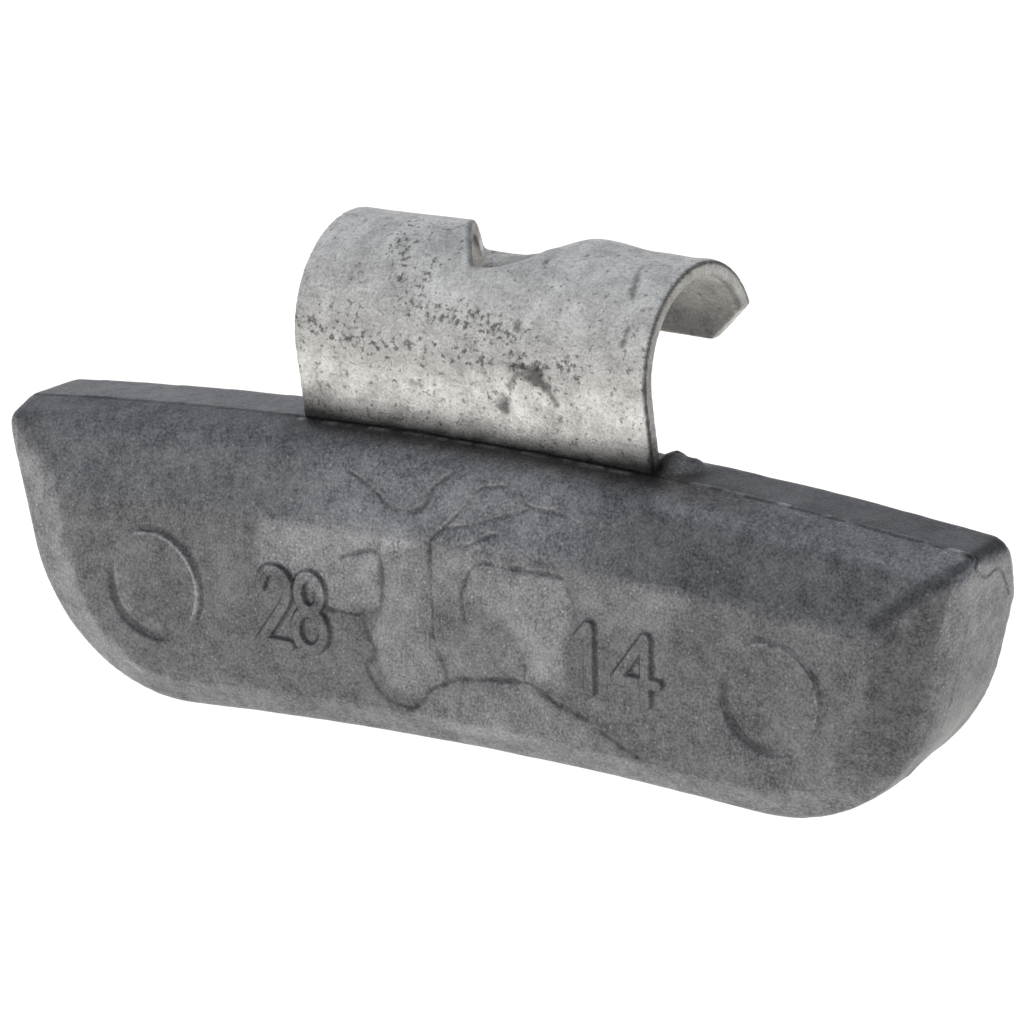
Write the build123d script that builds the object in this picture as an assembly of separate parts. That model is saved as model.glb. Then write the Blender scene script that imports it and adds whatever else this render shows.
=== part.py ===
from build123d import *
import math
import os

# Clip-on wheel balance weight: a die-cast body, cast round the leg of a spring-steel clip.
# X runs along the rim, Y points towards the wheel and Z points outwards from the wheel's axis.
# While it is modelled, the top of the casting is at Z = 0 and the die's parting plane at Y = 0.
# All lengths are in millimetres and all angles in degrees.

# Casting: outline in the parting plane of the die
top_radius = 230.0          # wheel axis to the top of the casting
body_length = 50.5          # along the top, from end to end
body_height = 13.6          # top to bottom
end_taper = 6.9             # how far each end leans in from a radial line
upper_corner = 0.65         # radius of the two upper corners
lower_corner = 8.45         # radius of the two lower corners

# Casting: the front half of the die, an upright wall and then a wide bevel to the front face
wall_depth = 1.6            # parting plane to the front edge of the wall
wall_fall = 0.5             # how far the top slopes down to that edge
front_depth = 2.8           # parting plane to front face
end_bevel = 3.15            # how far the bevel runs in from the ends
bottom_bevel = 1.55         # how far the bevel runs up from the bottom
brow_height = 4.0           # top of the casting to the upper edge of the front face
brow_corner = 1.2           # radius of the front face's upper corners
front_corner = 5.9          # radius of the front face's lower corners
edge_round = 0.5            # soft edges on both sides of the bevel

# Casting: the back half of the die
back_depth = 4.08           # parting plane to back face
heel_depth = 1.15           # bevel along the top of the back, measured on the top
heel_height = 2.0           # the same bevel, measured on the back face
heel_corner = 1.05          # radius of the back's upper corners
back_corner = 9.9           # radius of the back's lower corners
back_draft = 0.3            # how far ends and bottom draw in over the heel's depth

# Casting: marks of the two ejector pins on the front face
ejector_spacing = 33.65
ejector_drop = 7.8          # top of the casting to the pins' centres
ejector_diameter = 5.1
ejector_tilt = 3.5          # each pin's end stands proud at its upper right
ejector_turn = 40.0         # direction of that tilt, up from +X
ejector_flush = 0.3         # level band between the sunk and the proud half of a mark
ejector_seat = 0.4          # more than a mark's depth and height

# Clip: strip, leg and hook
clip_offset = -0.52         # middle of the casting to the middle of the clip
clip_width = 18.4
strip = 0.7                 # thickness of the steel
hook_radius = 3.85          # inside the hook
hook_rise = 8.35            # top of the casting to the crown of the hook
leg_lean = 10.3             # the leg leans forward where it leaves the casting
hook_end = -1.4             # angle round the hook of its free end
leg_depth = 9.0             # how deep the leg reaches into the casting
knee_depth = 1.5            # top of the casting to the bend in the leg
knee_radius = 3.0
tip_chamfer = 1.9           # corners of the hook's free end
anchor_diameter = 4.2       # hole in the leg that the casting fills
anchor_drop = 5.4           # top of the casting to the centre of that hole

# Clip: the barb lanced out of the crown, a tongue behind a curved slit
barb_front = 126.0          # angle round the hook of the slit's front end
barb_back = 33.0            # angle round the hook of the slit's back end
slit_front = 0.8            # middle of the clip to the slit, at its front end
slit_crown = 2.65           # the same, over the hook's centre
slit_back = 4.6             # the same, at its back end
slit_gap = 0.08             # between the two edges of the slit
barb_root = 2.4             # middle of the clip to the root of the barb
barb_drop = 1.9             # how far the barb is pressed into the hook
swell_end = 5.2             # middle of the clip to the end of the swelling behind the root
swell = 0.2                 # height of that swelling
crown_steps = 16            # spaces between the sections of the pressed crown

outer_radius = hook_radius + strip
lean = math.radians(leg_lean)
hook_z = hook_rise - outer_radius
leg_top = (hook_z - outer_radius * math.sin(lean)) * math.tan(lean)
hook_y = outer_radius * math.cos(lean) - leg_top


def on_body(along, height):
    """Point of an XZ outline: a distance along the casting's top and a height above that top."""
    angle = along / top_radius
    radius = top_radius + height
    return radius * math.sin(angle), radius * math.cos(angle) - top_radius


def outline(y, half_top, half_bottom, top, bottom, upper, lower):
    """Arched outline of the casting at depth y, with upper and lower corners rounded."""
    right_top = on_body(half_top, top)
    left_top = on_body(-half_top, top)
    right_low = on_body(half_bottom, bottom)
    left_low = on_body(-half_bottom, bottom)
    edges = ThreePointArc(left_top, on_body(0, top), right_top)
    edges += Line(right_top, right_low)
    edges += ThreePointArc(right_low, on_body(0, bottom), left_low)
    edges += Line(left_low, left_top)
    face = make_face(edges)
    face = fillet(face.vertices().sort_by(Axis.Y)[:2], min(lower, top - bottom - 2 * upper))
    face = fillet(face.vertices().sort_by(Axis.Y)[-2:], upper)
    return Plane.XZ.offset(-y) * face


def cast_body():
    """Body of the casting: bevelled front with soft edges, upright wall and flat back."""
    half_top = body_length / 2
    half_bottom = half_top - body_height * math.tan(math.radians(end_taper))

    def layer(y, ends, top, bottom, upper, lower):
        return outline(y, half_top - ends, half_bottom - ends, -top, bottom - body_height, upper, lower)

    body = loft([
        layer(-front_depth, end_bevel, brow_height, bottom_bevel, brow_corner, front_corner),
        layer(-wall_depth, 0, wall_fall, 0, upper_corner, lower_corner),
        layer(0, 0, 0, 0, upper_corner, lower_corner),
        layer(back_depth - heel_depth, 0, 0, 0, heel_corner, back_corner),
        layer(back_depth, back_draft, heel_height, back_draft, heel_corner, back_corner),
    ], ruled=True)
    front_rim, wall_rim = body.edges().filter_by(Plane.XZ).group_by(Axis.Y)[:2]
    return fillet(front_rim + wall_rim, edge_round)


def mark_ejector(body, along):
    """Print one ejector pin's tilted end on the front face: sunk at the lower left, proud opposite."""
    x, z = on_body(along, -ejector_drop)
    face = Plane((x, -front_depth, z), x_dir=(1, 0, 0), z_dir=(0, -1, 0))

    def print_part(shift, side, keep):
        pin = Cylinder(ejector_diameter / 2, ejector_seat, align=(Align.CENTER, Align.CENTER, side))
        tilted = face * Rot(Z=ejector_turn) * Pos(X=shift) * Rot(Y=-ejector_tilt)
        return split(face * pin, bisect_by=Plane(tilted), keep=keep)

    body -= print_part(-ejector_flush / 2, Align.MAX, Keep.TOP)
    return body + print_part(ejector_flush / 2, Align.MIN, Keep.BOTTOM)


def on_hook(radius, angle):
    """Point of a YZ section: radius and angle about the hook's centre, from +Y towards +Z."""
    turn = math.radians(angle)
    return hook_y + radius * math.cos(turn), hook_z + radius * math.sin(turn)


def strip_section():
    """Section of the clip: leg, knee, lean and hook, one strip thick."""
    leg_y = knee_depth * math.tan(lean)
    foot = (leg_y, -leg_depth)
    knee = (leg_y, -knee_depth)
    hook_start = on_hook(outer_radius, 180 + leg_lean)
    outside = FilletPolyline(foot, knee, hook_start, radius=knee_radius)
    outside += ThreePointArc(hook_start, on_hook(outer_radius, 90), on_hook(outer_radius, hook_end))
    return Plane.YZ * make_face(offset(outside, strip, side=Side.RIGHT))


def press_depth(x, step):
    """How far the crown is pressed inwards at x, and at a step from -1 to 1 between the slit's two ends."""
    end = slit_front if step < 0 else slit_back
    edge = (barb_root + end) * math.sqrt(1 - step ** 2) - end
    if x < edge:
        reach = min((edge - x) / (barb_root + slit_crown), 1)
        return barb_drop * reach * (2 - reach) * (1 - step ** 8)
    if barb_root < x < swell_end:
        along = math.sin(math.pi * (x - barb_root) / (swell_end - barb_root))
        return -swell * along * (1 + math.cos(math.pi * step)) / 2
    return 0


def crown_section(x):
    """Section across the crown between the slit's two ends, pressed inwards along the barb."""
    middle = (barb_front + barb_back) / 2
    half = (barb_front - barb_back) / 2
    steps = [step / 8 for step in range(-8, 9)]

    def pressed(radius):
        return Spline(*[on_hook(radius - press_depth(x, step), middle - half * step) for step in steps])

    edges = pressed(outer_radius) + pressed(hook_radius)
    edges += [Line(on_hook(hook_radius, angle), on_hook(outer_radius, angle))
              for angle in (barb_front, barb_back)]
    return Plane.YZ.offset(x) * make_face(edges)


def pressed_crown():
    """Crown from the slit to the clip's side, with the barb and the swelling behind its root."""
    start = -max(slit_front, slit_crown, slit_back) - strip
    step = (clip_width / 2 - start) / crown_steps
    return loft([crown_section(start + step * count) for count in range(crown_steps + 1)])


def behind_slit():
    """Block on the barb's side of the slit, as wide round the hook as the slit is long."""
    reach = 2 * outer_radius
    rays = [on_hook(reach, angle) for angle in (barb_front, 90, barb_back)]
    wedge = extrude(Plane.YZ * make_face(Polyline(on_hook(0, 0), *rays, close=True)), clip_width, both=True)
    front_y = on_hook(outer_radius, barb_front)[0]
    back_y = on_hook(outer_radius, barb_back)[0]
    front, back = (-slit_front, front_y), (-slit_back, back_y)
    slit = ThreePointArc(front, (-slit_crown, hook_y), back)
    sides = Polyline(back, (clip_width, back_y), (clip_width, front_y), front)
    return wedge & extrude(make_face(slit + sides), 2 * hook_rise)


def clip():
    """Spring clip with its anchor hole, chamfered tip and lanced barb."""
    body = extrude(strip_section(), clip_width / 2, both=True)
    body -= Pos(0, 0, -anchor_drop) * Rot(X=90) * Cylinder(anchor_diameter / 2, 4 * outer_radius)
    tip = Plane.XZ.offset(-hook_y) * Pos(clip_width / 2, on_hook(outer_radius, hook_end)[1])
    corner = tip * make_face(Polyline((0, 0), (-tip_chamfer, 0), (0, tip_chamfer), close=True))
    corner = extrude(corner, -2 * outer_radius)
    body -= [corner, mirror(corner, Plane.YZ)]
    block = behind_slit()
    return body - block + (pressed_crown() & Pos(X=slit_gap) * block)


def assembly():
    """Casting and clip as they leave the die."""
    steel = Pos(X=clip_offset) * clip()
    metal = cast_body()
    for along in (-ejector_spacing / 2, ejector_spacing / 2):
        metal = mark_ejector(metal, along)
    return {"cast_weight": metal - steel, "spring_clip": steel}


def stand(pieces):
    """The pieces with the middle of their common box over the origin and its underside at Z = 0."""
    box = pieces["cast_weight"].bounding_box().add(pieces["spring_clip"].bounding_box())
    place = Pos(-box.center().X, -box.center().Y, -box.min.Z)
    return {name: place * piece for name, piece in pieces.items()}


os.makedirs("parts", exist_ok=True)
for name, piece in stand(assembly()).items():
    export_step(piece, f"parts/{name}.step")
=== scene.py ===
# %% [markdown]
# # Wheel balance weight
# A clip-on balance weight is dull zinc, die-cast round a strip of pitted spring steel that hooks over
# a wheel's rim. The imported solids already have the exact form. This lesson adds what a drawing leaves
# out: soft cast edges, raised numbers, the lines where cold metal met in the die, flash, pits, stains
# and the two metals' finishes.

# %% Load the frame
import math

import bmesh
import bpy
import numpy as np
from mathutils import Matrix, Vector, noise


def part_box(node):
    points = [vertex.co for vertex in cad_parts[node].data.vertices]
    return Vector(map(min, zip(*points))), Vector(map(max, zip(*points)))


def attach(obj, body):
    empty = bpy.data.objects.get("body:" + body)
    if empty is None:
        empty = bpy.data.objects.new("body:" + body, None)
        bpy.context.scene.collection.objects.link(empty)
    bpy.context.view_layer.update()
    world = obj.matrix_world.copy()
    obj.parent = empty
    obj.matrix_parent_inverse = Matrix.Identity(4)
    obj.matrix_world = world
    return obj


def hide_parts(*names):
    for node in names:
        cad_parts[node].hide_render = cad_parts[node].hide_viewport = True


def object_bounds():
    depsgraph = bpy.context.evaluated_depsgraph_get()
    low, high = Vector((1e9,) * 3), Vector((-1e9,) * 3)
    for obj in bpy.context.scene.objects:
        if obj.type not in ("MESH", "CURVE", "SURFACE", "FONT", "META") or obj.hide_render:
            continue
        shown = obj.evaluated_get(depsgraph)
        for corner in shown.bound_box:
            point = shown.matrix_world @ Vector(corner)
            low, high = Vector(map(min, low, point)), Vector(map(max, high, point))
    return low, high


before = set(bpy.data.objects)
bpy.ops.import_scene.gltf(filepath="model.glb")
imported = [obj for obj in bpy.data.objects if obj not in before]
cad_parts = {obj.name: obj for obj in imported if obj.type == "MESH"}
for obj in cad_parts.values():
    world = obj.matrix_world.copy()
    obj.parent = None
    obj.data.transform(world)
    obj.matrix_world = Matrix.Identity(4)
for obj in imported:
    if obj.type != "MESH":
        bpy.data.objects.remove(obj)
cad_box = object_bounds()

MM = 0.001
print("box in mm:", [[round(x / MM, 3) for x in corner] for corner in cad_box])

# %% [markdown]
# ## A copy to work on
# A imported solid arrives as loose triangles, and it stays as it is. Each visible piece starts as a
# copy whose triangles are joined where their corners meet, because operators such as remesh need a
# closed skin. Working in millimetres keeps the numbers readable, so only these few functions know
# about metres.

# %% Copy, store, read and write meshes


def copy_of(node):
    """A copy of a solid's mesh, its triangles joined."""
    bm = bmesh.new()
    bm.from_mesh(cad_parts[node].data)
    bmesh.ops.remove_doubles(bm, verts=bm.verts, dist=MM / 1000)
    return bm


def to_piece(bm, name):
    """Turn a bmesh into an object of that name."""
    mesh = bpy.data.meshes.new(name)
    bm.to_mesh(mesh)
    bm.free()
    piece = bpy.data.objects.new(name, mesh)
    bpy.context.scene.collection.objects.link(piece)
    return piece


def read(piece):
    """The piece's vertices in millimetres, and their normals."""
    values = np.empty((2, 3 * len(piece.data.vertices)), np.float32)
    piece.data.vertices.foreach_get("co", values[0])
    piece.data.vertices.foreach_get("normal", values[1])
    points, normals = values.astype(float).reshape(2, -1, 3)
    return points / MM, normals


def write(piece, points):
    """Move the vertices to these points, none of them outside the solids' common box."""
    low, high = (np.array(corner) / MM for corner in cad_box)
    margin = 0.002
    inside = np.clip(points, low + margin, high - margin)
    piece.data.vertices.foreach_set("co", (inside * MM).astype(np.float32).ravel())
    piece.data.update()


for node in ("cast_weight", "spring_clip"):
    print(node, "arrives as", len(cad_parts[node].data.polygons), "triangles")

# %% [markdown]
# ## The casting's skin
# The solid casting has a thin pocket where the clip's leg sits. On the real weight the zinc flowed
# right up to the steel, so nothing of that pocket shows. The pocket's faces are deleted and its mouth
# is filled. The clip then simply passes through the skin, and no gap can open round it later.

# %% Close the pocket of the leg
clip_low, clip_high = (Vector(corner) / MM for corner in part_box("spring_clip"))
casting_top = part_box("cast_weight")[1].z / MM
LEG_FRONT, LEG_BACK = -2.9, -1.6    # the leg lies between these depths inside the casting
NEAR = 0.1                          # a face this close to the leg still belongs to the pocket


def in_pocket(face):
    """True for the faces that touch the leg. The casting's top isn't one of them."""
    x, y, z = face.calc_center_median() / MM
    if z > casting_top - 0.3 and face.normal.z > 0.9:
        return False
    across = clip_low.x - NEAR < x < clip_high.x + NEAR
    return across and LEG_FRONT < y < LEG_BACK and z > clip_low.z - NEAR


bm = copy_of("cast_weight")
pocket = [face for face in bm.faces if in_pocket(face)]
bmesh.ops.delete(bm, geom=pocket, context="FACES")
mouth = [edge for edge in bm.edges if edge.is_boundary]
bmesh.ops.holes_fill(bm, edges=mouth, sides=0)
print("pocket:", len(pocket), "faces deleted, open edges left:", sum(edge.is_boundary for edge in bm.edges))

# %% [markdown]
# ## A burr beside the clip
# Where the die closes on the steel strip a little zinc is squeezed out, and here it froze as a lump
# beside the leg. Two low balls are pushed into the skin, and the remesh of the next step fuses them
# with the body.

# %% Add the lump
BALLS = (((8.9, -1.4, 13.9), (1.05, 0.9, 0.76)),    # the middle of each ball and its three radii
         ((9.7, -1.1, 13.8), (0.6, 0.7, 0.56)))
for middle, radii in BALLS:
    ball = bmesh.ops.create_icosphere(bm, subdivisions=3, radius=MM)["verts"]
    place = Matrix.Translation(Vector(middle) * MM) @ Matrix.Diagonal((*radii, 1))
    bmesh.ops.transform(bm, matrix=place, verts=ball)
casting = to_piece(bm, "zinc_casting")
print("skin and lump:", len(casting.data.polygons), "faces")

# %% [markdown]
# ## An even net of quads
# Triangles from a solid are long and uneven, which is no use for fine relief. A voxel remesh lays an
# even net over the form, and a few rounds of smoothing give every edge the small radius of a casting
# that has left its die.

# %% Remesh the casting


def remesh(piece, voxel, rounds):
    """An even net with quads of that size in millimetres, smoothed by that many rounds."""
    net = piece.modifiers.new("even_net", "REMESH")
    net.mode = "VOXEL"
    net.voxel_size = voxel * MM
    soft = piece.modifiers.new("soft_edges", "SMOOTH")
    soft.factor = 0.5
    soft.iterations = rounds
    made = bpy.data.meshes.new_from_object(piece.evaluated_get(bpy.context.evaluated_depsgraph_get()))
    piece.modifiers.clear()
    rough = piece.data
    piece.data = made
    bpy.data.meshes.remove(rough)


remesh(casting, voxel=0.2, rounds=4)
print("casting net:", len(casting.data.polygons), "quads")

# %% [markdown]
# ## A rounder edge round the front
# The edge between the casting's upright wall and its bevel is the roundest one. Smoothing moves each
# vertex towards its neighbours, so repeating it near that edge alone wears the edge down to a radius
# of more than a millimetre.

# %% Wear the wall's front edge down
WALL_Y = -4.369                     # front edge of the upright wall
WEAR_REACH, WEAR_ROUNDS = 0.9, 36   # how far from that edge the wear reaches, and how often it rubs
SHARP_LOW, SHARP_LEFT = 4.0, -22.5  # below and left of these the edge stays sharper
bm = bmesh.new()
bm.from_mesh(casting.data)
worn = [vert for vert in bm.verts
        if abs(vert.co.y / MM - WALL_Y) < WEAR_REACH
        and vert.co.z > SHARP_LOW * MM and vert.co.x > SHARP_LEFT * MM]
for _ in range(WEAR_ROUNDS):
    bmesh.ops.smooth_vert(bm, verts=worn, factor=0.5, use_axis_x=True, use_axis_y=True, use_axis_z=True)
bm.to_mesh(casting.data)
bm.free()
print("worn vertices:", len(worn))

# %% [markdown]
# ## Numbers as lines
# Most relief on the front face follows lines. The first are the strokes of two raised numbers, plain
# ones: the mass in grams and a mould number. Blender's text objects have flat faces and upright
# sides. Relief that slopes as if cut into a die only needs the middle line of each stroke, so each is
# a handful of points, X and Z in millimetres, with a smooth curve through the bent ones.

# %% Draw the numbers


def smooth(points, steps=6):
    """Points on a smooth curve through the given ones."""
    p = np.array([points[0], *points, points[-1]], float)
    curve = [p[1]]
    for a, b, c, d in zip(p, p[1:], p[2:], p[3:]):
        for t in np.linspace(0, 1, steps + 1)[1:]:
            bend = (2 * a - 5 * b + 4 * c - d) * t**2 + (3 * b - a - 3 * c + d) * t**3
            curve.append(b + 0.5 * ((c - a) * t + bend))
    return np.array(curve)


def oval(x, z, half_width, half_height):
    """Points round an oval."""
    turn = np.linspace(0, 2 * math.pi, 25)
    return np.stack([x + half_width * np.cos(turn), z + half_height * np.sin(turn)], 1)


two = [smooth([(0.05, 2.5), (0.3, 3.15), (0.95, 3.4), (1.6, 3.15), (1.8, 2.5), (1.45, 1.7), (0.05, 0.05)]),
       np.array([(0, 0), (1.85, 0)])]
eight = [oval(0.95, 2.6, 0.72, 0.8), oval(0.95, 0.88, 0.9, 0.88)]
one = [np.array([(0, 2.75), (0.5, 3.4), (0.5, 0)])]
four = [np.array([(1.5, 0), (1.5, 3.4), (0, 1.1), (2.1, 1.1)])]
# Each digit comes with its stretch along X and Z and the place of its lower left corner.
PLACES = ((two, 0.85, 1.0, -10.35, 4.15), (eight, 0.85, 1.0, -8.45, 4.15),
          (one, 1.0, 0.88, 6.6, 4.6), (four, 1.0, 0.88, 8.5, 4.5))
strokes = [line * (wide, high) + (x, z) for digit, wide, high, x, z in PLACES for line in digit]
print("numbers:", len(strokes), "strokes")

# %% [markdown]
# ## Seams as lines
# A seam is the wandering line where two tongues of cooling zinc met without melting together. A noise
# pattern wouldn't fork and join as seams do, so each one is drawn in the same way as a stroke. The
# wrinkle lies on the right end, so its points are Y and Z.

# %% Draw the seams
seams = [smooth(line) for line in (
    [(-5.8, 12.4), (-5.0, 12.1), (-4.2, 11.7), (-3.6, 11.3), (-2.6, 11.2), (-1.8, 11.5), (-1.4, 12.4),
     (-0.5, 13.1)],
    [(-1.3, 10.1), (-0.6, 10.8), (-0.1, 11.3), (0.4, 12.0), (0.9, 12.6), (1.5, 12.8), (2.5, 12.9),
     (3.0, 12.8), (3.6, 12.3), (5.3, 12.2)],
    [(-0.6, 10.8), (0.4, 11.0), (1.3, 11.3), (2.1, 11.6), (3.1, 11.9), (3.6, 12.2)],
    [(0.7, 10.2), (1.4, 10.6), (2.1, 10.9)],
    [(-1.2, 10.1), (-1.2, 8.3), (-1.1, 7.0), (-1.1, 6.1), (-0.9, 5.2), (-0.6, 4.7), (-0.4, 3.7)],
    [(-2.3, 2.3), (-1.7, 2.7), (-1.3, 3.3), (-0.2, 3.9), (1.0, 4.2), (3.7, 4.5), (4.4, 4.3), (5.3, 3.8),
     (6.4, 3.5), (7.4, 3.0), (9.5, 2.0)],
    [(3.7, 5.2), (3.7, 4.5)],
    [(0.6, 6.8), (0.4, 7.8), (0.6, 8.5), (1.0, 9.2), (1.6, 9.6), (3.5, 9.6), (5.6, 9.6), (6.0, 9.2),
     (6.3, 8.2)],
    [(-6.0, 8.7), (-5.2, 9.0), (-4.1, 9.3), (-3.8, 8.6), (-3.8, 7.6), (-4.1, 6.4), (-5.7, 6.2), (-6.7, 6.2)],
    [(-4.9, 6.3), (-4.7, 5.6), (-4.2, 4.5), (-4.7, 4.0), (-4.3, 3.2), (-3.5, 2.5), (-2.3, 2.3)],
)]
wrinkle = [smooth([(-2.6, 12.7), (-2.95, 12.25), (-2.1, 11.7), (-1.0, 11.8), (0.1, 10.7), (0.5, 10.2)])]
print("seams:", len(seams), "and a wrinkle on the right end")

# %% [markdown]
# ## Distances to the marks
# Relief and tone both ask how far a vertex is from a line, or from the rim of one of the two round
# marks that ejector pins left. Arrays measure all the vertices at once, which is far quicker than a
# loop over them.

# %% Measure distances
PIN_X, PIN_Z, PIN_RADIUS = 16.24, 5.75, 2.55    # the ejector marks, one at each side


def distance(points, lines, axes=(0, 2)):
    """Distance of each point to the nearest of the lines, seen along the axis that is left out."""
    flat = points[:, axes]
    nearest = np.full(len(flat), 1e9)
    for line in lines:
        for a, b in zip(line[:-1], line[1:]):
            t = np.clip((flat - a) @ (b - a) / ((b - a) @ (b - a)), 0, 1)
            nearest = np.minimum(nearest, np.linalg.norm(flat - a - t[:, None] * (b - a), axis=1))
    return nearest


def from_rim(points):
    """Distance of each point to the rim of the nearer ejector mark: negative inside it."""
    return np.hypot(np.abs(points[:, 0]) - PIN_X, points[:, 2] - PIN_Z) - PIN_RADIUS


print("vertices in line with the ejector marks:", int((from_rim(read(casting)[0]) < 0).sum()))

# %% [markdown]
# ## A finer net near the marks
# Relief a tenth of a millimetre high needs smaller quads than the rest of the casting. Distances from
# every vertex to the lines tell which edges to halve: once near the parting line, and twice near the
# seams, the numbers and the rims of the two ejector marks.

# %% Refine the net
PARTING_Y = -2.769                  # where the two halves of the die meet
FRONT_DEPTH = 1.2                   # from that plane forward to where the marks begin
END_X = 23                          # where the right end begins
ROUNDS = ((0.4, 0.7, 0.6, 0.35),    # how far from each kind of mark the net is refined
          (0.2, 0.5, 0.35, 0.0))


def refine(piece, close):
    """Halve the edges whose two ends are close to a mark."""
    bm = bmesh.new()
    bm.from_mesh(piece.data)
    bm.verts.ensure_lookup_table()
    edges = [edge for edge in bm.edges if close[edge.verts[0].index] and close[edge.verts[1].index]]
    bmesh.ops.subdivide_edges(bm, edges=edges, cuts=1, use_grid_fill=True)
    bm.to_mesh(piece.data)
    bm.free()


for seam_width, stroke_width, rim_width, parting_width in ROUNDS:
    points, _ = read(casting)
    front = points[:, 1] < PARTING_Y - FRONT_DEPTH
    close = front & (distance(points, seams) < seam_width)
    close |= front & (distance(points, strokes) < stroke_width)
    close |= front & (np.abs(from_rim(points)) < rim_width)
    close |= (points[:, 0] > END_X) & (distance(points, wrinkle, (1, 2)) < seam_width)
    close |= np.abs(points[:, 1] - PARTING_Y) < parting_width
    refine(casting, close)
print("refined casting:", len(casting.data.vertices), "vertices")

# %% [markdown]
# ## Unevenness of a casting
# No cast face is flat: it shrinks as it cools and copies every polishing mark of the die. Two sizes
# of noise push the skin in and out by hundredths of a millimetre, and the squeezed-out lump is
# rougher. The noise depends on the place alone, so each run is the same.

# %% Press noise into the casting
WAVE, LUMP, BURR = 5.0, 0.9, 0.6                            # sizes of the unevenness
WAVE_HEIGHT, LUMP_HEIGHT, BURR_HEIGHT = 0.02, 0.01, 0.1


def uneven(points, size):
    """Noise with lumps of that size in millimetres, about -1 to 1. Shifted points give another noise."""
    fade, step, octaves = 0.8, 2.1, 3
    return np.array([noise.fractal(Vector(p) / size, fade, step, octaves) for p in points])


def ramp(values, start, end):
    """A soft step from 0 at start to 1 at end."""
    t = np.clip((values - start) / (end - start), 0, 1)
    return t * t * (3 - 2 * t)


points, normals = read(casting)
waves = uneven(points, WAVE)
lumps = uneven(points + 40, LUMP)
on_burr = ramp(points[:, 2], casting_top - 0.1, casting_top + 0.2)
rise = WAVE_HEIGHT * waves + LUMP_HEIGHT * lumps + BURR_HEIGHT * on_burr * uneven(points + 40, BURR)
print("waves in mm:", round(float(rise.min()), 3), "to", round(float(rise.max()), 3))

# %% [markdown]
# ## Numbers and seams
# The numbers were cut into the die, so they stand proud with sloping sides. Painted shade darkens
# the corner at their right, which makes them readable. A seam is a shallow furrow that comes and
# goes.

# %% Raise the numbers and press in the seams
STROKE_HEIGHT, SEAM_DEPTH = 0.14, 0.05
STROKE_SHADE_SHIFT = (0.17, 0, 0.07)        # from a stroke to the painted shade beside it
facing = ramp(-normals[:, 1], 0.5, 0.8)
on_end = ramp(normals[:, 0], 0.5, 0.8)
to_stroke = distance(points, strokes)
stroke = ramp(-to_stroke, -0.36, -0.2) * facing
# painted shade: the corner at the right of each stroke is darkened
painted_stroke_shade = ramp(-distance(points - STROKE_SHADE_SHIFT, strokes), -0.34, -0.16) * ramp(to_stroke, 0.16, 0.26) * facing
to_seam = distance(points, seams) + 0.06 * lumps
seam = ramp(-to_seam, -0.16, -0.02) * facing * ramp(uneven(points + 9, 1.6), -0.7, -0.1)
seam = np.maximum(seam, ramp(-distance(points, wrinkle, (1, 2)), -0.1, -0.03) * on_end)
shade = ramp(-to_seam, -0.8, 0) * facing
rise += STROKE_HEIGHT * stroke - SEAM_DEPTH * seam
print("stroke vertices:", int((stroke > 0.5).sum()), "seam vertices:", int((seam > 0.5).sum()))

# %% [markdown]
# ## Ejector marks
# The end of an ejector pin left each round mark: a little tilted, sunk at its lower left and proud at
# its upper right. There zinc crept up beside the pin and froze as a thin lip, ragged on the right
# mark. The net is too coarse for the solid's sharp print, so the mark is first pressed level with the
# front face, and a softer tilt and the lip are laid on afresh.

# %% Tilt the marks and raise their lips
FRONT_Y = -5.569                    # the front face
TILT_TURN = math.radians(40)        # direction of the tilt, up from +X
TILT_RISE = 0.04                    # for each millimetre in that direction
LIP_HEIGHT, MOAT_DEPTH, CRESCENT_DEPTH = 0.05, 0.05, 0.07


def line_at(values, middle, half, core):
    """1 within core of the middle value, 0 farther than half from it."""
    return ramp(-np.abs(values - middle), -half, -core)


rim = from_rim(points)
in_mark = ramp(-rim, -0.1, 0.1) * ramp(-points[:, 1], -FRONT_Y - 0.5, -FRONT_Y - 0.3)
points[:, 1] += (FRONT_Y - points[:, 1]) * in_mark
pin_x = np.where(points[:, 0] < 0, -PIN_X, PIN_X)
along = (points[:, 0] - pin_x) * math.cos(TILT_TURN) + (points[:, 2] - PIN_Z) * math.sin(TILT_TURN)
ragged = np.where(points[:, 0] < 0, 0.8, ramp(uneven(points - 20, 0.7), -0.3, 0.5))
marked = facing * (rim < 0.5)
# besides their relief, these masks paint light into the tone: a highlight on the lip, a shadow in the moat
# and shade in the crescent
lip_with_highlight = marked * line_at(rim, -0.08, 0.13, 0.04) * ramp(along, 0.2, 1.4) * ragged
moat_with_shadow = marked * line_at(rim, 0.12, 0.26, 0.05) * ramp(along, 0.2, 1.6)
crescent_with_shade = marked * line_at(rim, -0.2, 0.3, 0.08) * ramp(-along, 0.7, 1.9)
rise += marked * ramp(-rim, -0.03, 0.05) * TILT_RISE * along
rise += LIP_HEIGHT * lip_with_highlight - MOAT_DEPTH * moat_with_shadow - CRESCENT_DEPTH * crescent_with_shade
print("relief in mm:", round(float(rise.min()), 3), "to", round(float(rise.max()), 3))
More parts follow.
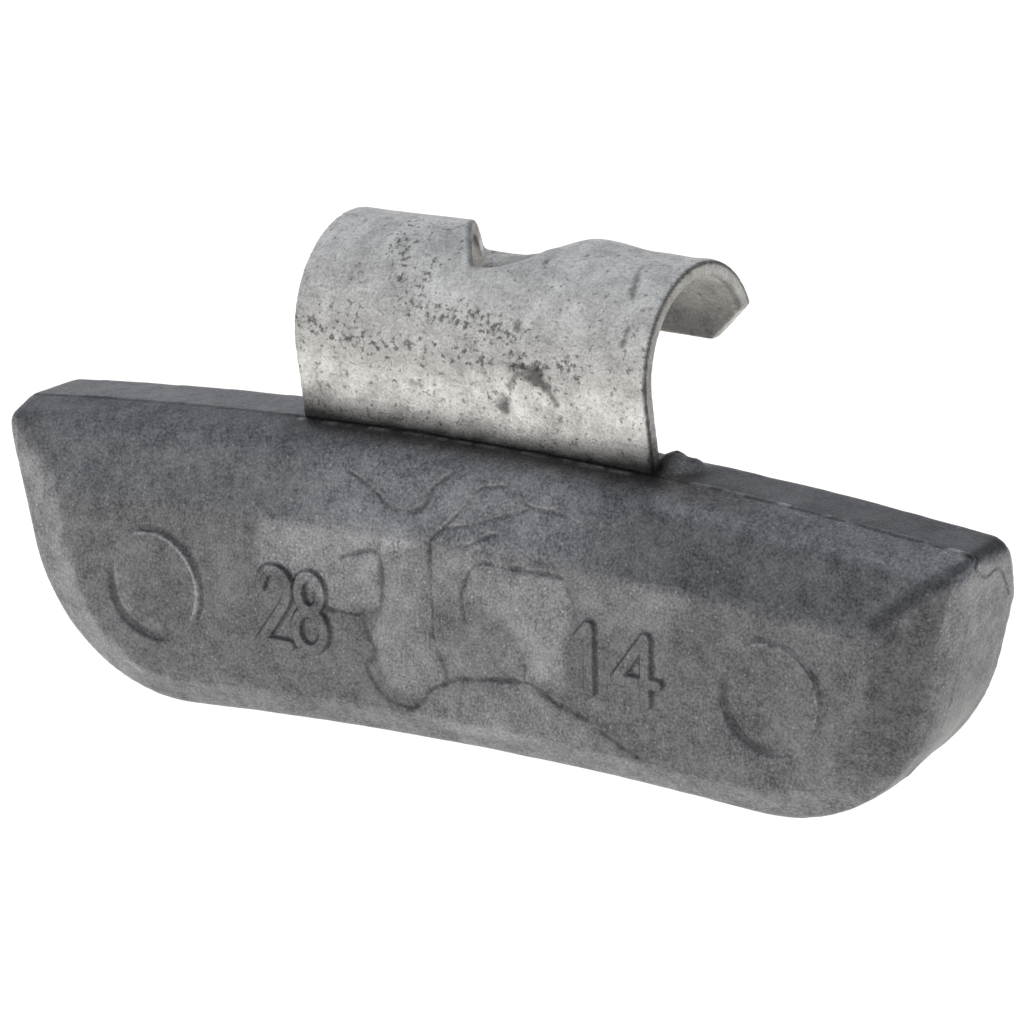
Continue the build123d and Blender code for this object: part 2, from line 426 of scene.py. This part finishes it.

# %% [markdown]
# ## Tongues of zinc
# The die fills in splashes. Where a tongue of zinc froze early it is paler than its neighbours and
# stands a hair higher, with a sharp border along the seams. Each tongue is an outline seen from the
# front, the share by which it is paler and half the width of its border. On the sloping brow painted
# light makes it palest in the middle, fading towards both ends.

# %% Find the pale tongues
TONGUES = (
    ([(-10.3, 10.0), (-10.35, 7.5), (-8.5, 7.7), (-6.7, 6.4), (-5.7, 6.25), (-3.9, 6.8), (-3.8, 9.3),
      (-1.3, 10.2)], 0.65, 0.3),
    ([(-3.6, 10.0), (-1.3, 10.1), (-1.1, 7.0), (-0.6, 3.9), (-1.7, 2.9), (-3.4, 3.2), (-4.4, 5.3),
      (-3.8, 7.1)], 0.5, 0.3),
    ([(1.0, 10.1), (5.6, 9.9), (6.2, 8.5), (5.6, 4.7), (3.7, 4.6), (3.6, 6.3), (2.6, 7.2),
      (0.6, 7.8)], 0.6, 0.3),
    ([(-1.2, 10.2), (1.2, 10.2), (0.5, 7.6), (-1.1, 7.5)], 0.45, 0.3),
    ([(-2.3, 2.2), (-1.4, 3.2), (-0.2, 3.8), (3.7, 4.4), (5.6, 3.6), (7.4, 2.9), (6.3, 2.0),
      (-1.5, 1.3)], 0.3, 0.3),
    ([(6.2, 10.4), (6.3, 8.3), (7.6, 7.9), (11.0, 8.0), (12.5, 9.9)], 0.35, 1.0),
    ([(-1.0, 7.5), (0.4, 7.6), (2.5, 7.1), (3.6, 6.2), (3.65, 4.7), (0.0, 4.1), (-0.7, 4.6)], 0.25, 0.5),
)
BROW_X, BROW_PAINTED_LIGHT = (-24, -21, -9, -6, 4.5, 9), (0, 0.3, 0.3, 0.8, 0.8, 0)
TONGUE_HEIGHT = 0.05


def patch(points, outline, soft):
    """1 inside an outline seen from the front and 0 outside it, with a soft border."""
    x, z = points[:, 0], points[:, 2]
    inside = np.zeros(len(points), bool)
    for (ax, az), (bx, bz) in zip(outline, outline[1:] + outline[:1]):
        slope = (bx - ax) / (bz - az) if bz != az else 0
        inside ^= ((az > z) != (bz > z)) & (x < ax + (z - az) * slope)
    border = distance(points, [np.array(outline + outline[:1])])
    return ramp(np.where(inside, border, -border) + 0.15 * lumps, -soft, soft)


brow = ramp(normals[:, 2], 0.12, 0.28) * ramp(points[:, 2], 8.6, 9.2)
pale = sum(share * patch(points, outline, soft) for outline, share, soft in TONGUES) * (1 - brow)
# painted light: the brow is made paler in its middle
pale += brow * np.interp(points[:, 0] + 0.6 * waves, BROW_X, BROW_PAINTED_LIGHT)
pale *= ramp(-points[:, 1], 3.2, 4.0)
rise += TONGUE_HEIGHT * pale
print("pale tongues on", int((pale > 0.1).sum()), "vertices")

# %% [markdown]
# ## Parting line and flash
# Both halves of the die meet in one plane, and a thread of zinc got in between them. It stands up in
# places and was rubbed off in others, so its height follows noise too.

# %% Raise the flash and set the casting's skin
FLASH_HEIGHT = 0.06
off_parting = np.abs(points[:, 1] - PARTING_Y)
flash_with_highlight = ramp(-off_parting, -0.14, -0.03) * ramp(uneven(points + 70, 2.0), -0.2, 0.5)
rise += FLASH_HEIGHT * flash_with_highlight
write(casting, points + rise[:, None] * normals)
casting.data.shade_smooth()
print("flash on", int((flash_with_highlight > 0.5).sum()), "vertices")

# %% [markdown]
# ## Painted light and shade on the casting
# Soot and release agent collect in the furrows. Painted shade darkens the places beside raised
# strokes, the corner under the clip and the edge of the right end. Painted light makes the left and
# lower bevels pale, and painted highlights make the flash shine in dashes. Each such place becomes
# a mask, a number for each vertex: 1 where the painted light or shade lies and 0 elsewhere. Normals
# tell the bevels, the top and the end apart, because they say which way a face looks.

# %% Find the painted light and shade
COLLAR_Y = -3.04                    # front of the strip where it leaves the casting
MITRE = np.array([(24.6, 12.5), (24.2, 12.15), (21.4, 9.85)])   # between the brow and the right bevel
points, normals = read(casting)
x, y, z = points.T
right, back, up = normals.T

beside_clip = np.maximum(np.maximum(clip_low.x - x, x - clip_high.x), 0)
# painted shade in the corner under the clip
painted_shade_under_clip = ramp(-beside_clip, -0.8, 0) * ramp(z, casting_top - 1.3, casting_top - 0.1)
# painted highlight: a bright line on the zinc meniscus where the strip leaves the casting
collar_highlight = line_at(y, COLLAR_Y, 0.13, 0.05) * (beside_clip < 0.1) * ramp(lumps, -0.3, 0.3)
collar_highlight *= z > casting_top - 1
# painted shade along the edge between the brow and the right bevel
corner = line_at(up, 0.75, 0.3, 0.1) * ramp(right, 0.15, 0.35) * (x > 22)
painted_mitre_shade = np.maximum(corner, ramp(-distance(points, [MITRE]), -0.6, -0.1) * facing)
# painted light on the left and lower bevels
painted_light_left_bevel = ramp(-right, 0.12, 0.22) * ramp(-back, 0.4, 0.7) * (x < -12)
painted_light_low_bevel = ramp(-up, 0.3, 0.5) * ramp(-back, 0.3, 0.6)
# painted shade on the right bevel, stronger higher up
painted_shade_right_bevel = ramp(right, 0.15, 0.3) * ramp(-right, -0.75, -0.55) * ramp(x, 15, 19)
painted_shade_right_bevel *= 0.3 + 0.7 * ramp(z, 2.5, 6)
# painted light on the right end
painted_light_end = on_end * (1 - corner) * ramp(z, 5, 11)

on_top = ramp(up, 0.3, 0.7)
# painted shadow on the top beside the parting line
painted_parting_shadow = line_at(y, PARTING_Y - 0.08, 0.16, 0.05) * on_top
right_of_clip = ramp(x, 9, 10.5)
# painted highlights: pale dashes along the flash on the top, right of the clip
highlight_dashes = ramp(-off_parting, -0.2, -0.08) * ramp(lumps, 0.05, 0.4) * right_of_clip
# painted light on the top's front part right of the clip, painted shade on its back part
painted_light_front_top = right_of_clip * ramp(-y, 2.85, 3.0) * ramp(up, 0.35, 0.6)
painted_shade_back_top = right_of_clip * ramp(y, PARTING_Y, PARTING_Y + 0.1) * on_top
# counts of painted shade along the mitre and under the clip, and of painted light on the left bevel
print("soot on", int((painted_mitre_shade + painted_shade_under_clip > 0.5).sum()), "vertices, wear on", int((painted_light_left_bevel > 0.5).sum()))

# %% [markdown]
# ## Tone of the casting
# The tone is one number for each vertex, and the material multiplies its colour by it. It starts at 1.
# Each mask then makes it paler by its share, or darker where the share is below 0. Stored on the
# vertices, it follows the surface exactly and needs no image.

# %% Store the casting's tone


def weathered_and_painted_light(start, shares):
    """The tone after every mask has made it paler or darker by its share."""
    tone = start
    for mask, share in shares:
        tone = tone * (1 + share * mask)
    return tone


def store(piece, name, values):
    """Keep one number for each vertex under that name."""
    numbers = piece.data.attributes.new(name, "FLOAT", "POINT")
    numbers.data.foreach_set("value", values.astype(np.float32))


# besides the tongues and seams, these shares paint light: painted shade beside the seams and strokes, under
# the clip, in the crescent, along the mitre, on the right bevel, beside the parting line and on the top
# behind it, a painted shadow in the moat, painted highlights on the collar, the lips and the flash, and
# painted light on the left and lower bevels, the end and the top's front
casting_tone = weathered_and_painted_light(1.0, (
    (pale, 1.0), (seam, -0.36), (shade, -0.12), (painted_stroke_shade, -0.6), (painted_shade_under_clip, -0.5), (collar_highlight, 2.2),
    (lip_with_highlight, 0.8), (moat_with_shadow * ragged, -0.4), (crescent_with_shade, -0.4), (painted_mitre_shade, -0.45),
    (np.maximum(painted_light_left_bevel, 0.46 * painted_light_low_bevel), 0.52), (painted_shade_right_bevel, -0.27), (painted_light_end, 0.3),
    (painted_parting_shadow, -0.4), ((0.9 * flash_with_highlight + 1.6 * highlight_dashes) * on_top, 1.0), (painted_light_front_top, 0.5), (painted_shade_back_top, -0.25),
))
store(casting, "tone", casting_tone)
print("casting tone:", round(float(casting_tone.min()), 2), "to", round(float(casting_tone.max()), 2))

# %% [markdown]
# ## The clip's strip
# The clip is one strip of spring steel, sheared, folded and lanced, then tumbled with a zinc coat.
# The same remesh gives it a net fine enough for dents, and its smoothing rounds the sheared edges by
# about a tenth of a millimetre.

# %% Remesh the clip
clip = to_piece(copy_of("spring_clip"), "spring_clip_strip")
remesh(clip, voxel=0.11, rounds=2)
clip.data.shade_smooth()
print("clip net:", len(clip.data.polygons), "quads")

# %% [markdown]
# ## Lifted lip and dents
# The punch that lanced the barb also drew the other edge of the slit up a little. Tumbling left
# shallow dents.

# %% Shape the clip's surface
HOOK_Y, HOOK_Z, HOOK_RADIUS = 1.165, 17.94, 4.55            # the hook's centre and its outer radius
SLIT_ANGLES, SLIT_X = (33, 90, 126), (-5.1, -3.15, -1.3)    # the slit, at three angles round the hook
LIFT = 0.17                                                 # how far its edge is drawn up
DENT, SPOT = 3.5, 0.9                                       # sizes of dents and of smaller spots
DENT_DEPTH, SPOT_DEPTH = 0.015, 0.008
points, normals = read(clip)
x, y, z = points.T                  # views of the points, so a change to z moves them
out_y, out_z = y - HOOK_Y, z - HOOK_Z
reach = np.hypot(out_y, out_z)
around = np.degrees(np.arctan2(out_z, out_y))
slit_x = np.interp(around, SLIT_ANGLES, SLIT_X)
drawn = ramp(x, -9.7, -3.4) * (x < slit_x) * line_at(around, 85, 50, 15)
z += LIFT * drawn

dents = uneven(points + 15, DENT)
spots = uneven(points + 33, SPOT)
write(clip, points + (DENT_DEPTH * dents + SPOT_DEPTH * spots)[:, None] * normals)
print("drawn vertices:", int((drawn > 0.5).sum()))

# %% [markdown]
# ## Pits and stains
# Salt ate pits through the zinc coat. They lie thickest in a band left of the slit and in a row
# across the front, where the strip's curve touched its neighbours. Grease ran down from that row and
# left stains. Both follow lines again, so the same distances do the work.

# %% Place the pits and stains
outwards = (normals[:, 1] * out_y + normals[:, 2] * out_z) / reach
outside = ramp(outwards, 0.2, 0.6)
pit_lines = [smooth(line) for line in (
    [(-5.9, 22.3), (-4.6, 20.9), (-3.8, 19.8), (-1.6, 19.75), (1.8, 19.4)],
    [(-3.3, 21.4), (-3.6, 20.4), (-3.2, 19.6)],
    [(-9.6, 18.4), (-7.4, 18.2), (-5.4, 17.9), (-3.0, 18.2), (-0.3, 18.3), (1.9, 18.1), (5.0, 18.4)],
)]
grease_lines = [smooth(line) for line in (
    [(1.7, 18.05), (2.5, 18.0), (3.3, 17.8)], [(2.2, 17.75), (2.8, 17.6), (3.5, 17.4)],
    [(1.35, 16.4), (1.25, 15.95)],
)]
scratches = [np.array(line) for line in (
    [(6.55, 22.2), (7.1, 21.5)], [(7.45, 20.35), (7.4, 20.1)], [(7.4, 19.8), (7.35, 19.6)],
    [(1.95, 19.9), (1.95, 19.6)], [(-3.6, 16.5), (-3.1, 16.35)], [(1.98, 22.1), (2.0, 22.0)],
    [(3.7, 17.2), (4.0, 16.5)], [(2.0, 17.5), (1.6, 17.0)],
)]
fine_spots = uneven(points + 55, 0.35)
to_pits = distance(points, pit_lines) + 0.3 * spots
to_grease = distance(points, grease_lines) + 0.3 * spots + 0.15 * fine_spots
to_scratch = distance(points, scratches) + 0.12 * fine_spots
pitted = (0.2 + 0.7 * ramp(-to_pits, -0.8, 0) + 0.35 * dents) * outside
stain = np.maximum(0.75 * ramp(-to_grease, -0.45, 0.05), 0.55 * ramp(-to_scratch, -0.22, -0.02)) * outside
store(clip, "pitted", np.clip(pitted, 0, 1))
print("heavily pitted share:", round(float((pitted > 0.6).mean()), 3))

# %% [markdown]
# ## Tone of the clip
# Painted shade darkens the strip where it enters the casting. Its sheared sides, the torn face of the
# slit and the pressed tongue never got the full coat, so they are darker than its outside, and painted
# shade darkens the inside of the hook. Painted light makes its lower half paler and the crown a little
# paler too, so the band between them is darker.

# %% Store the clip's tone
height = z - casting_top
foot = 1.1 + 0.4 * ramp(x, 5.5, 8.6) + 0.4 * ramp(-x, 7, 9.6) + 0.3 * dents
# painted shade: darker towards where the strip enters the casting
painted_foot_shade = np.clip(1 - height / foot + 0.1 * spots, 0, 1) ** 0.85
at_right = ramp(x, 8.25, 8.45)
right_side = at_right * (1 - outside)
right_edge = at_right * line_at(outwards, 0.5, 0.45, 0.2)
torn = line_at(x - slit_x, 0, 0.4, 0.2) * ramp(around, 40, 60) * ramp(-around, -130, -124)
pressed = ramp(HOOK_RADIUS - reach, 0.1, 0.7) * outside * ramp(around, 30, 50)
# painted shade inside the hook, stronger higher up
painted_inner_shade = ramp(-outwards, 0.2, 0.6) * ramp(height, 2, 4)
# painted light: the low half and the crown are made paler
painted_light_low_half = ramp(-z + 0.3 * dents, -17.7, -16.4)
painted_light_crown = ramp(z + 0.3 * dents, 18.6, 20.4)
clip_tone = weathered_and_painted_light(0.92 + 0.3 * painted_light_low_half + 0.22 * painted_light_crown, (
    (stain, -1.0), (painted_foot_shade, -0.93), (right_side, -0.4), (right_edge, -0.8),
    (torn, -0.55), (pressed, -0.5), (painted_inner_shade, -0.22),
))
store(clip, "tone", clip_tone)
print("clip tone:", round(float(clip_tone.min()), 2), "to", round(float(clip_tone.max()), 2))

# %% [markdown]
# ## Tools for the finishes
# A finish is a tree of shader nodes. Wiring every node by hand would take pages, so one function adds
# a node, sets its values and links its inputs. Colours are written as in a paint program, and
# patterns by the size of their features in millimetres.

# %% Make the tools


def srgb(code):
    """A colour written as hex, as the linear values that shaders use."""
    parts = [int(code[i:i + 2], 16) / 255 for i in (0, 2, 4)]
    return [*[c / 12.92 if c <= 0.04045 else ((c + 0.055) / 1.055) ** 2.4 for c in parts], 1]


def add(tree, kind, inputs, **settings):
    """Add a node. Its inputs are values, or links from the outputs of other nodes."""
    node = tree.nodes.new(kind)
    for name, value in settings.items():
        setattr(node, name, value)
    for name, value in inputs.items():
        if isinstance(value, bpy.types.NodeSocket):
            tree.links.new(value, node.inputs[name])
        else:
            node.inputs[name].default_value = value
    return node


def material(name):
    """An empty material and its node tree."""
    made = bpy.data.materials.new(name)
    made.use_nodes = True
    made.node_tree.nodes.clear()
    return made, made.node_tree


def per_mm(size):
    """Texture scale for features of that size in millimetres."""
    return 1 / (size * MM)


def layered(tree, place, layers):
    """A sum of noises, each given by the size of its features in millimetres and its weight."""
    total = 0.0
    for size, weight in layers:
        layer = add(tree, "ShaderNodeTexNoise", {
            "Vector": place, "Scale": per_mm(size), "Detail": 3.0, "Roughness": 0.62}).outputs["Fac"]
        total = add(tree, "ShaderNodeMath", {
            0: layer, 1: weight, 2: total}, operation="MULTIPLY_ADD").outputs[0]
    return total


print("mid grey in linear light:", round(srgb("808080")[0], 3))

# %% [markdown]
# ## As-cast zinc
# Die-cast zinc dulls to a dark grey within days. The grey is mottled, because the skin froze in
# flakes, with fine bright grains where crystals catch the light. Three noises add up to flakes,
# mottling and grain, and a cell pattern paints the crystals' glints into the colour as pale specks.
# A little bump from the same noises breaks up the reflections.

# %% Make the casting's material
FLAKE, MOTTLE = 2.8, 0.7
GRAIN = 0.13            # finer than a pixel on the real metal, drawn as coarse as it needs to show
CRYSTAL = 0.45          # from one crystal's painted glint to the next
# To the eye: dull, dark and mottled, with a broad, weak sheen and a few painted glints.
zinc, tree = material("as_cast_zinc_alloy")
place = add(tree, "ShaderNodeTexCoord", {}).outputs["Object"]
mixed = layered(tree, place, ((FLAKE, 0.6), (MOTTLE, 0.4), (GRAIN, 1.2)))
grey = add(tree, "ShaderNodeMapRange", {"Value": mixed, "From Min": 0.82, "From Max": 1.38}).outputs["Result"]
colour = add(tree, "ShaderNodeMix", {
    0: grey, 6: srgb("4b4c4f"), 7: srgb("878788")}, data_type="RGBA").outputs[2]
cells = add(tree, "ShaderNodeTexVoronoi", {"Vector": place, "Scale": per_mm(CRYSTAL)}).outputs["Distance"]
glint = add(tree, "ShaderNodeMapRange", {
    "Value": cells, "From Min": 0.14, "From Max": 0.06, "To Max": 0.25}).outputs["Result"]
colour_with_painted_glints = add(tree, "ShaderNodeMix", {
    0: glint, 6: colour, 7: srgb("d4d4d6")}, data_type="RGBA").outputs[2]
tone = add(tree, "ShaderNodeAttribute", {}, attribute_name="tone").outputs["Fac"]
toned = add(tree, "ShaderNodeMix", {
    0: 1.0, 6: colour_with_painted_glints, 7: tone}, data_type="RGBA", blend_type="MULTIPLY").outputs[2]
bump = add(tree, "ShaderNodeBump", {
    "Height": mixed, "Strength": 0.4, "Distance": 0.06 * MM}).outputs["Normal"]
shader = add(tree, "ShaderNodeBsdfPrincipled", {
    "Base Color": toned, "Metallic": 0.9, "Roughness": 0.4, "Normal": bump})
add(tree, "ShaderNodeOutputMaterial", {"Surface": shader.outputs["BSDF"]})
print("material:", zinc.name, "with", len(tree.nodes), "nodes")

# %% [markdown]
# ## Pitted, zinc-coated steel
# The strip's coat is paler than the casting and still has some sheen, dulled by handling to a soft,
# cloudy grey. Three noises add up to its clouds, mottling and tumbled grain, again drawn coarser than
# the real one. Pits are the deepest places of a fourth noise, and the stored number lets more of them
# through where the salt lay.

# %% Make the clip's material
CLOUD, PIT = 2.2, 0.25
# To the eye: pale and cloudy, with a soft sheen that dark pits break.
coated, tree = material("tumbled_zinc_coat_on_spring_steel")
place = add(tree, "ShaderNodeTexCoord", {}).outputs["Object"]
mixed = layered(tree, place, ((CLOUD, 0.9), (MOTTLE, 0.8), (GRAIN, 1.1)))
grey = add(tree, "ShaderNodeMapRange", {
    "Value": mixed, "From Min": 0.95, "From Max": 1.85}).outputs["Result"]
colour = add(tree, "ShaderNodeMix", {
    0: grey, 6: srgb("a4a29f"), 7: srgb("f8f6f1")}, data_type="RGBA").outputs[2]
holes = add(tree, "ShaderNodeTexNoise", {
    "Vector": place, "Scale": per_mm(PIT), "Detail": 4.0, "Roughness": 0.6}).outputs["Fac"]
salted = add(tree, "ShaderNodeAttribute", {}, attribute_name="pitted").outputs["Fac"]
deeper = add(tree, "ShaderNodeMath", {0: salted, 1: 0.14, 2: holes}, operation="MULTIPLY_ADD").outputs[0]
pits = add(tree, "ShaderNodeMapRange", {
    "Value": deeper, "From Min": 0.63, "From Max": 0.76, "To Max": 0.85}).outputs["Result"]
eaten = add(tree, "ShaderNodeMix", {
    0: pits, 6: colour, 7: srgb("66635e")}, data_type="RGBA").outputs[2]
tone = add(tree, "ShaderNodeAttribute", {}, attribute_name="tone").outputs["Fac"]
toned = add(tree, "ShaderNodeMix", {
    0: 1.0, 6: eaten, 7: tone}, data_type="RGBA", blend_type="MULTIPLY").outputs[2]
rough = add(tree, "ShaderNodeMapRange", {
    "Value": mixed, "From Min": 0.95, "From Max": 1.85, "To Min": 0.65, "To Max": 0.5}).outputs["Result"]
sunk = add(tree, "ShaderNodeMath", {0: pits, 1: -1.0, 2: mixed}, operation="MULTIPLY_ADD").outputs[0]
bump = add(tree, "ShaderNodeBump", {
    "Height": sunk, "Strength": 0.8, "Distance": 0.08 * MM}).outputs["Normal"]
shader = add(tree, "ShaderNodeBsdfPrincipled", {
    "Base Color": toned, "Metallic": 0.7, "Roughness": rough, "Normal": bump})
add(tree, "ShaderNodeOutputMaterial", {"Surface": shader.outputs["BSDF"]})
print("material:", coated.name, "with", len(tree.nodes), "nodes")

# %% [markdown]
# ## Both pieces take their places
# Each piece rides on the part's only body and stands for its solid. From here on the imported solids
# are hidden, though they still carry the part's collisions.

# %% Hand the pieces to the frame
for piece, node, slot, finish in ((casting, "cast_weight", "zinc_casting", zinc),
                                  (clip, "spring_clip", "spring_steel", coated)):
    piece.data.materials.clear()
    piece.data.materials.append(finish)
    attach(piece, "root")
    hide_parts(node)
    triangles = sum(len(face.vertices) - 2 for face in piece.data.polygons)
    print(piece.name, "stands for", node, "with", triangles, "triangles")

# %% [markdown]
# ## Light table
# The photo's ground is pure white without a shadow, as on a sheet of white acrylic lit from below.
# Such a table also lights the weight from underneath, which is why its front is paler than its
# sloping brow.

# %% Lay the table
TABLE_HALF = 2.0        # metres, far beyond what the camera sees
bm = bmesh.new()
bmesh.ops.create_grid(bm, x_segments=1, y_segments=1, size=TABLE_HALF)
table = to_piece(bm, "light_table")
# To the eye: even white, with neither shadow nor mirror image.
acrylic, tree = material("white_acrylic_sheet_lit_from_below")
shader = add(tree, "ShaderNodeBsdfPrincipled", {
    "Base Color": srgb("303030"), "Roughness": 0.9,
    "Emission Color": srgb("fffdfa"), "Emission Strength": 1.1})
add(tree, "ShaderNodeOutputMaterial", {"Surface": shader.outputs["BSDF"]})
table.data.materials.append(acrylic)
print("table:", table.name)

# %% [markdown]
# ## Studio light
# One large soft lamp stands low behind the weight on the left, and the room is dim and a little cool.
# Metal shows what it faces: upright faces mirror the bright table, the top mirrors the lamp and the
# brow mirrors the dim room.

# %% Light the scene
LAMP_PLACE = Vector((-0.5, 0.45, 0.2))      # metres from the weight
room = bpy.data.worlds.new("dim_room")
room.use_nodes = True
room.node_tree.nodes["Background"].inputs["Color"].default_value = srgb("eef2fa")
room.node_tree.nodes["Background"].inputs["Strength"].default_value = 0.62
bpy.context.scene.world = room
bpy.context.scene.view_settings.view_transform = "Standard"

softbox = bpy.data.lights.new("back_left_softbox", "AREA")
softbox.size = 0.4
softbox.energy = 0.1
lamp = bpy.data.objects.new("back_left_softbox", softbox)
lamp.location = LAMP_PLACE
lamp.rotation_euler = (-LAMP_PLACE).to_track_quat("-Z", "Y").to_euler()
bpy.context.scene.collection.objects.link(lamp)
print("lamp:", lamp.name, "of", round(softbox.size, 2), "m")

# %% [markdown]
# ## Camera
# The photo was taken with a long lens from the right and a little above. Its direction, distance and
# lens were found by fitting the casting's edges and the clip to it, so the picture can be laid over
# the photo.

# %% Set the camera
AIM = Vector((1.31, -2.769, 11.14)) * MM    # the point in the middle of the picture
DISTANCE = 0.38269                          # metres from the lens to that point
azimuth, elevation, roll = (math.radians(angle) for angle in (33.892, 16.8, -1.019))
look = Vector((-math.sin(azimuth) * math.cos(elevation),
               math.cos(azimuth) * math.cos(elevation),
               -math.sin(elevation)))
lens = bpy.data.cameras.new("long_lens")
lens.lens = 307.34
lens.sensor_width = 36
lens.clip_start = 0.01
camera = bpy.data.objects.new("camera", lens)
facing_weight = look.to_track_quat("-Z", "Y").to_matrix().to_4x4()
stand = Matrix.Translation(AIM - look * DISTANCE)
camera.matrix_world = stand @ facing_weight @ Matrix.Rotation(roll, 4, "Z")
bpy.context.scene.collection.objects.link(camera)
bpy.context.scene.camera = camera
print("camera at", [round(x, 4) for x in camera.matrix_world.translation])
